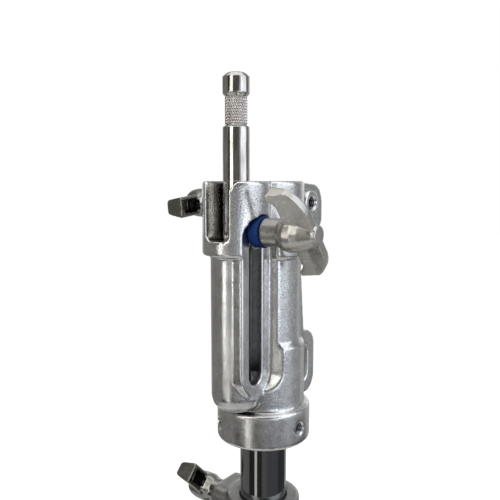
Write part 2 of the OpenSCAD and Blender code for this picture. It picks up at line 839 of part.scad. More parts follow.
module wheel(i) {
  web = 5;
  color([0.75, 0.75, 0.76]) at_wheel(i) rotate_extrude() polygon([
    [axle_r + run_gap, -hub_w / 2], [axle_r + 7, -hub_w / 2], [axle_r + 7, -web],
    [rim_r - 7, -web], [rim_r - 4, -tyre_w / 2 + 2], [rim_r, -tyre_w / 2 + 2],
    [rim_r, tyre_w / 2 - 2], [rim_r - 4, tyre_w / 2 - 2], [rim_r - 7, web],
    [axle_r + 7, web], [axle_r + 7, hub_w / 2], [axle_r + run_gap, hub_w / 2]
  ]);
}

module tyre(i) {
  half = tyre_w / 2;
  color(plastic_colour) at_wheel(i) rotate_extrude() polygon([
    [rim_r, -half + 1], [rim_r + 2, -half], [wheel_r - 4.5, -half], [wheel_r - 1.2, -half + 3.5],
    [wheel_r, -half + 8], [wheel_r, half - 8], [wheel_r - 1.2, half - 3.5],
    [wheel_r - 4.5, half], [rim_r + 2, half], [rim_r, half - 1]
  ]);
}

module axle(i) {
  color(steel_colour) at_wheel(i) {
    cylinder(r = axle_r, h = 2 * fork_outer, center = true);
    for (s = [-1, 1]) translate([0, 0, s * (fork_outer + 2.5)])
      cylinder(r = 8, h = 5, center = true, $fn = 6);
  }
}

// Brake pedal on its pin, with a cam that meets the tyre when the pedal is pressed
module brake_pedal(i) {
  pedal_w = 2 * fork_inner - 2 * face_gap;
  color([0.72, 0.15, 0.12]) at_caster(i) translate([pedal_x, 0, pedal_z]) {
    rotate([90, 0, 0]) linear_extrude(height = pedal_w, center = true) {
      circle(6.5);
      rotate(-100) translate([0, -3]) square([8.6, 6]);
      polygon([[-2, 6.2], [20, 9], [40, 8], [40, 4], [20, 5], [4, 2]]);
    }
    rod_y(pedal_pin_r, 2 * fork_outer + 2);
  }
}

head_casting();
head_set_screws();
baby_pin();
pin_lock_stud();
pin_lock_bushing();
pin_lock_knob();
receiver_lock_pad();
receiver_lock_screw();
receiver_lock_handle();
riser_top_tube();
riser_top_guide();
upper_collar();
upper_lock_pad();
upper_lock_screw();
upper_lock_handle();
riser_middle_tube();
riser_middle_guide();
lower_collar();
lower_lock_pad();
lower_lock_screw();
lower_lock_handle();
column_tube();
column_end_plug();
brace_hub();
brace_hub_pins();
leg_collar();
leg_collar_pins();
leg_lock_pad();
leg_lock_screw();
leg_lock_handle();
for (i = [1:3]) {
  brace(i);
  brace_bolt(i);
  leg_tube(i);
  leg_foot(i);
  caster_fork(i);
  wheel(i);
  tyre(i);
  axle(i);
  brake_pedal(i);
}
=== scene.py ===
import json
import math

import bmesh
import bpy
import numpy as np
from mathutils import Matrix, Vector, noise

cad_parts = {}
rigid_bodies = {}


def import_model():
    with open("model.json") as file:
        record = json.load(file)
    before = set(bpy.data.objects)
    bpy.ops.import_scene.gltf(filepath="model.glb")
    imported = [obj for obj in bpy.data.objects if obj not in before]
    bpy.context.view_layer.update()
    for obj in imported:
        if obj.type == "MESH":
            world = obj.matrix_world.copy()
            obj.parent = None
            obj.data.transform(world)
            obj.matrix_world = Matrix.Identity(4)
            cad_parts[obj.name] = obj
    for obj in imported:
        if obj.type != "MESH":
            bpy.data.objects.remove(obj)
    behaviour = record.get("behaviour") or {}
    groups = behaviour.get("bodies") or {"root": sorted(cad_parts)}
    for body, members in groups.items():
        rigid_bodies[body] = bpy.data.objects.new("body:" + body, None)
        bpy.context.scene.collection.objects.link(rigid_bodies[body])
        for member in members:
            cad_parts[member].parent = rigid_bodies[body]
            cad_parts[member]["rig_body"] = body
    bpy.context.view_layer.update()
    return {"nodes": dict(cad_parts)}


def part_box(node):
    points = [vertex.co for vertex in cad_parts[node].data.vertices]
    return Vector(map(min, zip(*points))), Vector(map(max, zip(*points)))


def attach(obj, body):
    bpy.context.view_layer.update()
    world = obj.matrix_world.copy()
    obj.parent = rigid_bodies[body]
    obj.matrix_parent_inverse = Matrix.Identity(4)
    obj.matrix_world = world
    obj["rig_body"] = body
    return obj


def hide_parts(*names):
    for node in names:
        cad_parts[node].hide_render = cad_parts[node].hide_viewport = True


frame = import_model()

nodes = frame["nodes"]
scene = bpy.context.scene
mm = 0.001


def toLinear(hexColour):
    parts = [int(hexColour[i:i + 2], 16) / 255 for i in (1, 3, 5)]
    return [c / 12.92 if c <= 0.04045 else ((c + 0.055) / 1.055) ** 2.4 for c in parts] + [1.0]


def addNode(tree, kind, inputs=None, **settings):
    node = tree.nodes.new(kind)
    for key, value in settings.items():
        setattr(node, key, value)
    for key, value in (inputs or {}).items():
        socket = node.inputs[key]
        if isinstance(value, bpy.types.NodeSocket):
            tree.links.new(value, socket)
        else:
            socket.default_value = value
    return node


def newMaterial(name):
    material = bpy.data.materials.new(name)
    material.use_nodes = True
    material.node_tree.nodes.clear()
    return material, material.node_tree


# camera level with the top of the casting, as in the photograph, looking 6.5 degrees down
shot = {
    "side": 213.5, "front": -308.5,  # mm from the column axis
    "pitch": 6.54, "heading": 36.0,  # degrees
    "lens": 43.34, "sensor": 36.0,  # mm
    "sees": (0.02, 60),  # metres
}
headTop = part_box("head_casting")[1].z
lens = bpy.data.cameras.new("photoCamera")
lens.lens, lens.sensor_width = shot["lens"], shot["sensor"]
lens.clip_start, lens.clip_end = shot["sees"]
camera = bpy.data.objects.new("photoCamera", lens)
camera.location = (shot["side"] * mm, shot["front"] * mm, headTop)
camera.rotation_euler = (math.radians(90 - shot["pitch"]), 0, math.radians(shot["heading"]))
scene.collection.objects.link(camera)
scene.camera = camera

# studio: white sweep, soft boxes, and cards that only the metal sees; lengths in metres
studio = {
    "worldLight": 0.42,  # on matt surfaces; what the camera and the metal see is 1, white
    "floor": "#F2F2F0", "floorRadius": 14.0, "floorDrop": 0.0005,
    "floorLift": (0.33, 0.68), "liftRings": (0.9, 1.9),  # near and far from the stand
    "cardDistance": 1.3, "cardStep": 5,  # degrees in one flat of a curved card
    "topCard": {"height": 3.1, "radius": 1.25, "brightness": 1.6},
    # every card: compass directions it spans, its lower and upper edge, brightness, tint
    "cards": [
        # tall strip box left of the camera with a weak shoulder, between black edges
        (-113, -103.5, 0.74, 1.235, 3.3, "#FFFDF8"), (-103.5, -97, 0.74, 1.235, 0.45, "#FFFDF8"),
        (-97, -86, 0.74, 1.235, 0.36, "#F2F6FF"), (-105, -81, 1.235, 2.6, 2.6, "#FFFDF8"),
        (-124, -105, 1.235, 2.6, 0.06, "#FFFFFF"), (-124, -113, 0.74, 1.235, 0.06, "#FFFFFF"),
        (-124, -97, 0.56, 0.74, 0.14, "#FFFFFF"),
        (-97, -88, 0.56, 0.74, 2.5, "#FFFDF8"), (-88, -62, 0.56, 0.74, 0.3, "#FFFDF8"),
        (-98, -86, -0.02, 0.56, 1.1, "#FFFDF8"), (-128, -98, -0.02, 0.56, 0.04, "#FFFFFF"),
        (-86, -62, -0.02, 0.56, 0.04, "#FFFFFF"),
        # grey side of the room to the left
        (-196, -124, 0.56, 2.6, 0.24, "#FFFCF6"), (-210, -128, -0.02, 0.56, 0.22, "#FFFCF6"),
        # room behind the camera
        (-86, -62, 0.74, 1.235, 0.34, "#FFFDF8"), (-62, -48, 0.56, 1.235, 0.4, "#FBFCFF"),
        (-81, -25, 1.235, 2.6, 0.16, "#FFFDF8"),
        (-62, -38, -0.02, 0.56, 0.15, "#FFFDF8"),
        # broad soft box on the right, brightest left of its middle and above the head
        (-48, -38, 0.8, 1.235, 0.7, "#F2F6FF"), (-38, -30, 0.8, 1.235, 1.5, "#EFF5FF"),
        (-30, -14, 0.8, 1.235, 2.3, "#EFF5FF"), (-14, -4, 0.8, 1.235, 1.5, "#EFF5FF"),
        (-4, 24, 0.8, 1.235, 1.0, "#F2F6FF"), (-25, -14, 1.235, 2.6, 0.8, "#EFF5FF"),
        (-14, 38, 1.235, 2.6, 1.9, "#EFF5FF"),
        (-48, -4, 0.5, 0.8, 0.38, "#F2F6FF"), (-4, 24, 0.5, 0.8, 0.66, "#F2F6FF"),
        (-38, 25, -0.02, 0.5, 0.12, "#F4F8FF"),
        # grey gap to the right, then the pale walls beside and beyond the stand
        (24, 36, 0.5, 1.235, 0.55, "#F8FAFF"), (38, 60, 1.235, 2.6, 0.3, "#F8FAFF"),
        (36, 60, 0.5, 1.235, 0.42, "#F8FAFF"), (60, 70, 0.5, 2.6, 0.28, "#F8FAFF"),
        (70, 84, 0.62, 2.6, 0.6, "#FBFBFA"),
        (25, 80, -0.02, 0.5, 0.06, "#FFFFFF"), (84, 164, 1.55, 3.4, 0.45, "#FFFFFF"),
    ],
    # direction, distance, height, aim height, width, length, watts; for the matt surfaces
    "boxes": [
        ("keyBox", -98, 1.7, 1.75, 1.0, 0.4, 1.1, 13.0),
        ("fillBox", -7, 2.1, 1.7, 0.8, 0.9, 1.3, 12.0),
        ("backBox", 142, 2.0, 2.1, 0.7, 0.7, 1.0, 8.0),
    ],
}


def seenOrLight(tree, light):
    # 1 for rays from the camera, from metal and through glass, the plain light level for the rest
    path = addNode(tree, "ShaderNodeLightPath")
    first = addNode(tree, "ShaderNodeMath", {0: path.outputs["Is Camera Ray"],
                                            1: path.outputs["Is Glossy Ray"]},
                    operation="MAXIMUM")
    seen = addNode(tree, "ShaderNodeMath", {0: first.outputs[0],
                                           1: path.outputs["Is Transmission Ray"]},
                   operation="MAXIMUM")
    return addNode(tree, "ShaderNodeMapRange", {"Value": seen.outputs[0], "To Min": light,
                                               "To Max": 1.0}).outputs[0]


world = bpy.data.worlds.new("whiteSweep")
scene.world = world
world.use_nodes = True
world.node_tree.nodes.clear()
sky = addNode(world.node_tree, "ShaderNodeBackground",
              {"Color": (1, 1, 1, 1),
               "Strength": seenOrLight(world.node_tree, studio["worldLight"])})
addNode(world.node_tree, "ShaderNodeOutputWorld", {"Surface": sky.outputs[0]})


def stageMesh(name, corners, faces):
    mesh = bpy.data.meshes.new(name)
    mesh.from_pydata(corners, [], faces)
    piece = bpy.data.objects.new(name, mesh)
    scene.collection.objects.link(piece)
    return piece


def stageDisc(name, radius, height, count):
    # a level disc about the column
    turns = [2 * math.pi * k / count for k in range(count)]
    rim = [(radius * math.cos(a), radius * math.sin(a), height) for a in turns]
    return stageMesh(name, rim, [tuple(range(count))])


def buildFloor():
    # painted sweep: matt, lifted to white for the camera, less so round the stand with its shadow
    paint, tree = newMaterial("sweepPaint")
    matt = addNode(tree, "ShaderNodeBsdfDiffuse", {"Color": toLinear(studio["floor"])})
    path = addNode(tree, "ShaderNodeLightPath")
    away = addNode(tree, "ShaderNodeVectorMath",
                   {0: addNode(tree, "ShaderNodeTexCoord").outputs["Object"]}, operation="LENGTH")
    level = addNode(tree, "ShaderNodeMapRange",
                    {"Value": away.outputs["Value"],
                     "From Min": studio["liftRings"][0], "From Max": studio["liftRings"][1],
                     "To Min": studio["floorLift"][0], "To Max": studio["floorLift"][1]},
                    interpolation_type="SMOOTHSTEP")
    lift = addNode(tree, "ShaderNodeMath",
                   {0: path.outputs["Is Camera Ray"], 1: level.outputs[0]}, operation="MULTIPLY")
    glow = addNode(tree, "ShaderNodeEmission", {"Strength": lift.outputs[0]})
    both = addNode(tree, "ShaderNodeAddShader", {0: matt.outputs[0], 1: glow.outputs[0]})
    addNode(tree, "ShaderNodeOutputMaterial", {"Surface": both.outputs[0]})
    disc = stageDisc("studioFloor", studio["floorRadius"], -studio["floorDrop"], count=64)
    disc.data.materials.append(paint)


def onlyForMetal(card, tint, brightness):
    # glowing paper that only reflections see
    paper, tree = newMaterial(card.name)
    glow = addNode(tree, "ShaderNodeEmission", {"Color": toLinear(tint), "Strength": brightness})
    addNode(tree, "ShaderNodeOutputMaterial", {"Surface": glow.outputs[0]})
    card.data.materials.append(paper)
    card.visible_camera = card.visible_diffuse = card.visible_shadow = False
    card.visible_transmission = card.visible_volume_scatter = False


def buildCards():
    # curved cards round the stand light metal only, so its streaks stay apart from the room light
    distance = studio["cardDistance"]
    for number, (start, end, low, high, bright, tint) in enumerate(studio["cards"]):
        steps = max(2, int((end - start) / studio["cardStep"]))
        corners, faces = [], []
        for k in range(steps + 1):
            a = math.radians(start + (end - start) * k / steps)
            x, y = distance * math.cos(a), distance * math.sin(a)
            corners += [(x, y, low), (x, y, high)]
            if k:
                faces.append((2 * k - 2, 2 * k, 2 * k + 1, 2 * k - 1))
        onlyForMetal(stageMesh(f"studioCard{number + 1}", corners, faces), tint, bright)
    top = studio["topCard"]
    onlyForMetal(stageDisc("studioTopCard", top["radius"], top["height"], count=48),
                 "#FFFFFF", top["brightness"])


def buildLamps():
    for name, heading, distance, height, aim, width, length, watts in studio["boxes"]:
        lamp = bpy.data.lights.new(name, "AREA")
        lamp.shape, lamp.size, lamp.size_y, lamp.energy = "RECTANGLE", width, length, watts
        place = bpy.data.objects.new(name, lamp)
        a = math.radians(heading)
        place.location = (distance * math.cos(a), distance * math.sin(a), height)
        towards = Vector((0, 0, aim)) - Vector(place.location)
        place.rotation_euler = towards.to_track_quat("-Z", "Y").to_euler()
        place.visible_glossy = False
        scene.collection.objects.link(place)


buildFloor()
buildCards()
buildLamps()
scene.view_settings.view_transform = "Standard"
print("studio ready")

# where each effect on a metal fades in: from, to, and for a tone its share at either end
metalSkin = {
    "blotchAt": (0.32, 0.68, 0.0, 1.0),
    "patchSize": 0.45, "patchAt": (0.3, 0.7),  # gloss varies in smaller patches than tone
    "pitAt": (0.16, 0.34), "pitTone": (0, 1, 0, 0.55),
    "pitGroups": 2.2, "pitFade": 0.05,  # pits come in groups, this many pits across
    "cornerOpen": (0.35, 0.85), "speckShadeAt": (0.36, 0.6),
}


def metalFinish(name, look):
    # one metal: blotches of two tones, pits, painted shade in the corners, depths and creases,
    # painted highlight on the edges, fine grain in the relief
    material, tree = newMaterial(name)
    plain = addNode(tree, "ShaderNodeTexCoord").outputs["Object"]
    place = plain
    if look.get("squeeze"):
        # drawn out along the piece, for scuffs and polishing lines
        place = addNode(tree, "ShaderNodeMapping",
                        {"Vector": plain, "Scale": [1 / s for s in look["squeeze"]],
                         "Rotation": look.get("turn", (0, 0, 0))},
                        vector_type="TEXTURE").outputs[0]
    blotch, grain, patch = (
        addNode(tree, "ShaderNodeTexNoise",
                {"Vector": place, "Scale": 1000 / sizeMm, "Detail": detail,
                 "Roughness": rough}).outputs["Fac"]
        for sizeMm, detail, rough in ((look["blotchMm"], 3.0, 0.6), (look["grainMm"], 2.0, 0.55),
                                      (look["blotchMm"] * metalSkin["patchSize"], 2.0, 0.5)))
    gloss = addNode(tree, "ShaderNodeMapRange",
                    {"Value": patch, "From Min": metalSkin["patchAt"][0],
                     "From Max": metalSkin["patchAt"][1],
                     "To Min": look["rough"][0], "To Max": look["rough"][1]})
    height = grain
    layers = [(blotch, metalSkin["blotchAt"], look["pale"])]
    if look.get("pitMm"):
        cells = addNode(tree, "ShaderNodeTexVoronoi",
                        {"Vector": plain, "Scale": 1000 / look["pitMm"]})
        groups = addNode(tree, "ShaderNodeTexNoise",
                         {"Vector": plain, "Detail": 1.0, "Roughness": 0.5,
                          "Scale": 1000 / (look["pitMm"] * metalSkin["pitGroups"])})
        chosen = addNode(tree, "ShaderNodeMapRange",
                         {"Value": groups.outputs["Fac"], "From Min": look["pitShare"],
                          "From Max": look["pitShare"] + metalSkin["pitFade"]},
                         interpolation_type="SMOOTHSTEP")
        hollow = addNode(tree, "ShaderNodeMapRange",
                         {"Value": cells.outputs["Distance"], "From Min": metalSkin["pitAt"][0],
                          "From Max": metalSkin["pitAt"][1], "To Min": 1.0, "To Max": 0.0},
                         interpolation_type="SMOOTHSTEP")
        pit = addNode(tree, "ShaderNodeMath", {0: hollow.outputs[0], 1: chosen.outputs[0]},
                      operation="MULTIPLY").outputs[0]
        height = addNode(tree, "ShaderNodeMath", {0: pit, 1: -look["pitDepth"], 2: grain},
                         operation="MULTIPLY_ADD").outputs[0]
        # each pit is darkened towards the painted shade colour: painted shade in the hollow
        layers.append((pit, metalSkin["pitTone"], look["paintedShade"]))
    if look.get("cornerMm"):
        # painted shade: corners closed in by nearby surfaces darken towards the painted shade
        # colour
        corner = addNode(tree, "ShaderNodeAmbientOcclusion",
                         {"Distance": look["cornerMm"] * mm}, samples=6)
        ends = (*look.get("cornerOpen", metalSkin["cornerOpen"]), look["cornerShare"], 0.0)
        layers.append((corner.outputs["AO"], ends, look["paintedShade"]))
    if look.get("deepMm"):
        # painted shade: bores, pockets and slots darken with depth, where shade falls in them
        inside = addNode(tree, "ShaderNodeAmbientOcclusion",
                         {"Distance": look["deepMm"] * mm}, samples=8, only_local=True)
        ends = (*look["deepOpen"], look["deepShare"], 0.0)
        layers.append((inside.outputs["AO"], ends, look["deep"]))
    if look.get("speckShadeShare"):
        # painted shade: the low points of the fine grain relief are darkened, as shade in its
        # hollows
        layers.append((grain, (*metalSkin["speckShadeAt"], look["speckShadeShare"], 0.0), look["paintedShade"]))
    if look.get("edge"):
        # painted highlight on the edges, partly the polish tumbling leaves, and painted shade in
        # the creases
        bend = addNode(tree, "ShaderNodeNewGeometry").outputs["Pointiness"]
        layers += [(bend, look["creaseShadeAt"], look["paintedShade"]), (bend, look["edgeHighlightAt"], look["edge"])]
    tone = toLinear(look["dull"])
    for measure, ends, colour in layers:
        share = addNode(tree, "ShaderNodeMapRange",
                        {"Value": measure, "From Min": ends[0], "From Max": ends[1],
                         "To Min": ends[2], "To Max": ends[3]})
        tone = addNode(tree, "ShaderNodeMix",
                       {"Factor": share.outputs[0], 6: tone, 7: toLinear(colour)},
                       data_type="RGBA").outputs[2]
    bump = addNode(tree, "ShaderNodeBump", {"Height": height, "Strength": look["relief"],
                                           "Distance": look["reliefMm"] * mm})
    shader = addNode(tree, "ShaderNodeBsdfPrincipled",
                     {"Base Color": tone, "Metallic": 1.0, "Roughness": gloss.outputs[0],
                      "Normal": bump.outputs[0]})
    addNode(tree, "ShaderNodeOutputMaterial", {"Surface": shader.outputs[0]})
    return material


def plasticFinish(name, look):
    # plastic, rubber or powder coat: even colour with faint flow marks and a soft skin
    flowFrom, flowTo = 0.3, 0.7
    material, tree = newMaterial(name)
    place = addNode(tree, "ShaderNodeTexCoord").outputs["Object"]
    flow, skin = (
        addNode(tree, "ShaderNodeTexNoise",
                {"Vector": place, "Scale": 1000 / look[size], "Detail": 2.0,
                 "Roughness": 0.5}).outputs["Fac"] for size in ("flowMm", "skinMm"))
    share, gloss = (
        addNode(tree, "ShaderNodeMapRange",
                {"Value": flow, "From Min": flowFrom, "From Max": flowTo,
                 "To Min": low, "To Max": high}).outputs[0]
        for low, high in ((0.0, 1.0), look["rough"]))
    tone = addNode(tree, "ShaderNodeMix",
                   {"Factor": share, 6: toLinear(look["dark"]), 7: toLinear(look["light"])},
                   data_type="RGBA").outputs[2]
    bump = addNode(tree, "ShaderNodeBump", {"Height": skin, "Strength": look["relief"],
                                           "Distance": look["reliefMm"] * mm})
    shader = addNode(tree, "ShaderNodeBsdfPrincipled",
                     {"Base Color": tone, "Metallic": 0.0, "Roughness": gloss,
                      "IOR": look["ior"], "Specular IOR Level": look.get("specular", 0.5),
                      "Normal": bump.outputs[0]})
    addNode(tree, "ShaderNodeOutputMaterial", {"Surface": shader.outputs[0]})
    return material


# grain and skin are finer than this on most of the real pieces, too fine to show in a picture of
# the whole head, so each is drawn as coarse as it needs to show
metals = {
    # aluminium, gravity cast and tumbled: pale grey, half gloss, small pits, painted shade in the
    # corners, depths and creases, painted highlight on the edges;
    # its grit, a few tenths of a millimetre on the real skin, is drawn 0.85 mm apart
    "tumbledCastAluminium": {
        "pale": "#E0E1E1", "dull": "#CECECC", "paintedShade": "#5A5650", "blotchMm": 9,
        "rough": (0.17, 0.27), "grainMm": 0.85, "pitMm": 1.7, "pitShare": 0.60, "pitDepth": 0.8,
        "cornerMm": 4, "cornerShare": 0.6, "relief": 0.55, "reliefMm": 0.17,
        "deepMm": 16, "deepOpen": (0.3, 0.68), "deepShare": 0.94, "deep": "#1E1B18",
        "speckShadeShare": 0.3, "edge": "#F4F4F2", "edgeHighlightAt": (0.515, 0.57, 0.0, 0.8),
        "creaseShadeAt": (0.43, 0.485, 0.6, 0.0)},
    # aluminium, sand cast and not tumbled: a duller, softer grey than the head, partly painted
    # shade for the dim reflection on the collars; painted shade in its corners, depths and creases,
    # painted highlight on its edges
    "sandCastAluminiumShaded": {
        "pale": "#A6A6A4", "dull": "#939391", "paintedShade": "#4A4742", "blotchMm": 9,
        "rough": (0.28, 0.38), "grainMm": 0.85, "pitMm": 1.7, "pitShare": 0.58, "pitDepth": 0.8,
        "cornerMm": 4, "cornerShare": 0.6, "relief": 0.6, "reliefMm": 0.18,
        "deepMm": 16, "deepOpen": (0.25, 0.6), "deepShare": 0.9, "deep": "#221F1C",
        "speckShadeShare": 0.3, "edge": "#C9C9C6", "edgeHighlightAt": (0.515, 0.57, 0.0, 0.8),
        "creaseShadeAt": (0.43, 0.485, 0.6, 0.0)},
    # steel, turned and polished: bright, with faint scuffs along the pin from the clamps it held,
    # and painted shade in its pits
    "polishedTurnedSteel": {
        "pale": "#D2CFCA", "dull": "#9C9994", "paintedShade": "#39352F", "blotchMm": 3.2,
        "rough": (0.05, 0.13), "grainMm": 0.5, "pitMm": 1.3, "pitShare": 0.63, "pitDepth": 0.5,
        "relief": 0.12, "reliefMm": 0.1, "squeeze": (1, 1, 0.22)},
    # aluminium, tapped and faced: bright fresh cuts beside the duller casting skin, with painted
    # shade deep in the holes
    "machinedAluminium": {
        "pale": "#E2E3E4", "dull": "#CFD0D1", "blotchMm": 3, "rough": (0.16, 0.26),
        "grainMm": 0.35, "relief": 0.12, "reliefMm": 0.04,
        "deepMm": 14, "deepOpen": (0.3, 0.75), "deepShare": 0.95, "deep": "#1A1816"},
    # steel, knurled: the diamonds' crests are bright and faintly pink, their valleys darkened with
    # painted shade
    "knurledSteel": {
        "pale": "#EEE8E3", "dull": "#D8D0CA", "paintedShade": "#3A2F29", "blotchMm": 4,
        "rough": (0.2, 0.3), "grainMm": 0.4, "cornerMm": 1.2, "cornerShare": 1.0,
        "cornerOpen": (0.5, 0.9), "relief": 0.2, "reliefMm": 0.05},
    # aluminium, die cast and bead blasted: warm grey, satin, even, with painted shade in its
    # corners and creases and painted highlight specks on its edges
    "blastedDieCastAluminium": {
        "pale": "#C6C3BE", "dull": "#BAB7B1", "paintedShade": "#6A665F", "blotchMm": 7,
        "rough": (0.26, 0.34), "grainMm": 0.45, "pitMm": 1.6, "pitShare": 0.70, "pitDepth": 0.3,
        "cornerMm": 3, "cornerShare": 0.4, "relief": 0.3, "reliefMm": 0.05,
        "speckShadeShare": 0.2, "edge": "#F2F0EC", "edgeHighlightAt": (0.53, 0.59, 0.0, 0.35),
        "creaseShadeAt": (0.43, 0.485, 0.6, 0.0)},
    # zinc die casting, nickel plated: glossy, smooth, its dark grey partly painted shade for the
    # dark surroundings it mirrors; painted shade near black in its pockets and corners
    "nickelPlatedZinc": {
        "pale": "#9B9A95", "dull": "#807F7A", "paintedShade": "#15130F", "blotchMm": 8,
        "rough": (0.16, 0.26), "grainMm": 0.8, "cornerMm": 5, "cornerShare": 0.85,
        "relief": 0.15, "reliefMm": 0.06},
    # steel tube, chrome plated: a mirror, with long faint polishing lines; its grey set low, partly
    # painted shade for the dark room it mirrors
    "chromePlatedTube": {
        "pale": "#A9ABAD", "dull": "#97999B", "blotchMm": 6, "rough": (0.05, 0.1),
        "grainMm": 0.9, "relief": 0.05, "reliefMm": 0.05,
        "squeeze": (1, 1, 0.03)},
    # steel, bright zinc plated: cool grey with a crystalline mottle, and painted shade in its
    # corners
    "zincPlatedSteel": {
        "pale": "#C2C4C6", "dull": "#9EA1A5", "paintedShade": "#44423D", "blotchMm": 5,
        "rough": (0.26, 0.38), "grainMm": 0.7, "pitMm": 2.4, "pitShare": 0.68, "pitDepth": 0.3,
        "cornerMm": 3, "cornerShare": 0.5, "relief": 0.2, "reliefMm": 0.06},
    # brass, turned: warm yellow, slightly dulled
    "turnedBrass": {
        "pale": "#CDB06A", "dull": "#A98D4C", "blotchMm": 4, "rough": (0.25, 0.38),
        "grainMm": 0.4, "relief": 0.15, "reliefMm": 0.05},
}
plastics = {
    # nylon, moulded and dyed deep blue: satin skin
    "mouldedBlueNylon": {
        "light": "#052F68", "dark": "#042558", "flowMm": 6, "skinMm": 0.8, "rough": (0.36, 0.46),
        "ior": 1.53, "specular": 0.16, "relief": 0.2, "reliefMm": 0.06},
    # nylon, moulded black: satin, near black
    "mouldedBlackNylon": {
        "light": "#232325", "dark": "#1A1A1C", "flowMm": 9, "skinMm": 0.7, "rough": (0.42, 0.52),
        "ior": 1.53, "relief": 0.35, "reliefMm": 0.08},
    # polypropylene, moulded black wheel centre: a little greyer than the nylon
    "mouldedWheelCentre": {
        "light": "#3A3B3D", "dark": "#303133", "flowMm": 12, "skinMm": 0.9, "rough": (0.38, 0.5),
        "ior": 1.49, "relief": 0.3, "reliefMm": 0.08},
    # thermoplastic rubber, moulded grey: matt, with dust that lightens it
    "mouldedGreyRubber": {
        "light": "#77787A", "dark": "#68696B", "flowMm": 14, "skinMm": 0.6, "rough": (0.62, 0.78),
        "ior": 1.5, "relief": 0.45, "reliefMm": 0.1},
    # steel pedal, red powder coat: even colour, orange-peel skin
    "redPowderCoat": {
        "light": "#B3261C", "dark": "#9E1F17", "flowMm": 10, "skinMm": 1.1, "rough": (0.34, 0.44),
        "ior": 1.5, "relief": 0.4, "reliefMm": 0.07},
}
finishes = {name: metalFinish(name, look) for name, look in metals.items()}
finishes.update({name: plasticFinish(name, look) for name, look in plastics.items()})
legLine = 135.3  # degrees from upright to the line of a leg tube
for leg in (1, 2, 3):
    # the same chrome on the legs, its polishing lines turned along each tube
    name = f"chromePlatedLeg{leg}"
    turn = (0, math.radians(legLine), math.radians(90 + 120 * (leg - 1)))
    finishes[name] = metalFinish(name, dict(metals["chromePlatedTube"], turn=turn))
print("finishes ready:", len(finishes))


def newPiece(name, mesh, nodeName, finish, replaced=None):
    # a piece on the body of a CAD node, in the given finish, standing for the nodes it replaces
    piece = bpy.data.objects.new(name, mesh)
    scene.collection.objects.link(piece)
    mesh.materials.clear()
    mesh.materials.append(finishes[finish])
    mesh.polygons.foreach_set("use_smooth", [True] * len(mesh.polygons))
    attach(piece, nodes[nodeName]["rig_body"])
    if replaced is None:
        replaced = [nodeName]
    if replaced:
        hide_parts(*replaced)


def pointsOf(mesh):
    points = np.empty(len(mesh.vertices) * 3)
    mesh.vertices.foreach_get("co", points)
    return points.reshape(-1, 3)


def easeEdges(points, edges, rounds, share=0.5):
    # moves each point towards the middle of its neighbours, so corners turn into small fillets
    count = np.bincount(edges.ravel(), minlength=len(points))[:, None]
    for _ in range(rounds):
        total = np.zeros_like(points)
        for axis in range(3):
            total[:, axis] = np.bincount(edges[:, 0], points[edges[:, 1], axis], len(points))
            total[:, axis] += np.bincount(edges[:, 1], points[edges[:, 0], axis], len(points))
        points = points + share * (total / np.maximum(count, 1) - points)
    return points


def applied(mesh, kind, **settings):
    # the mesh that a modifier makes of this one
    work = bpy.data.objects.new("work", mesh)
    scene.collection.objects.link(work)
    modifier = work.modifiers.new("work", kind)
    for key, value in settings.items():
        setattr(modifier, key, value)
    bpy.context.view_layer.update()
    done = work.evaluated_get(bpy.context.evaluated_depsgraph_get())
    result = bpy.data.meshes.new_from_object(done)
    bpy.data.objects.remove(work)
    return result


def castCopy(nodeName, look):
    # the CAD solid in even small faces, edges eased and skin a little uneven, inside its own box
    mesh = applied(nodes[nodeName].data.copy(), "REMESH", mode="VOXEL",
                   voxel_size=look["cellMm"] * mm, use_smooth_shade=True)
    edges = np.empty(len(mesh.edges) * 2, np.int64)
    mesh.edges.foreach_get("vertices", edges)
    points = easeEdges(pointsOf(mesh), edges.reshape(-1, 2), look["rounds"])
    mesh.vertices.foreach_set("co", points.ravel())
    mesh.update()
    normals = np.empty(len(points) * 3)
    mesh.vertices.foreach_get("normal", normals)
    normals = normals.reshape(-1, 3)
    if look.get("waveMm"):
        # a slow wave with a closer, weaker one over it
        slow, close, closeShare = 1000 / look["waveMm"], 2700 / look["waveMm"], 0.4
        wave = np.array([noise.noise(Vector(p * slow)) +
                         closeShare * noise.noise(Vector(p * close + 7.0)) for p in points])
        points = points + normals * (wave * look["waveDepthMm"] * mm)[:, None]
    for x, y, radius, low, high in look.get("bores", []):
        # an upright bore stays clear of the pin in it
        clear = radius + look["clearMm"] * mm
        away = points[:, :2] - np.array([x, y])
        far = np.linalg.norm(away, axis=1)
        near = (far < clear) & (points[:, 2] > low) & (points[:, 2] < high)
        points[near, :2] += away[near] * (clear / far[near] - 1)[:, None]
    low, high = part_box(nodeName)
    points = np.clip(points, np.array(low), np.array(high))
    mesh.vertices.foreach_set("co", points.ravel())
    mesh.update()
    if look.get("keep"):
        # the same surface with fewer faces, most of them taken from the flat parts
        mesh = applied(mesh, "DECIMATE", ratio=look["keep"])
    print("cast", nodeName, len(mesh.polygons))
    return mesh


def castPiece(nodeName, look, finish, ending="cast"):
    newPiece(f"{nodeName}_{ending}", castCopy(nodeName, look), nodeName, finish)


def crisp(mesh, degrees=38):
    # faces turned outwards, and hard shading only across real corners
    form = bmesh.new()
    form.from_mesh(mesh)
    bmesh.ops.recalc_face_normals(form, faces=form.faces)
    form.to_mesh(mesh)
    form.free()
    mesh.set_sharp_from_angle(angle=math.radians(degrees))
    return mesh


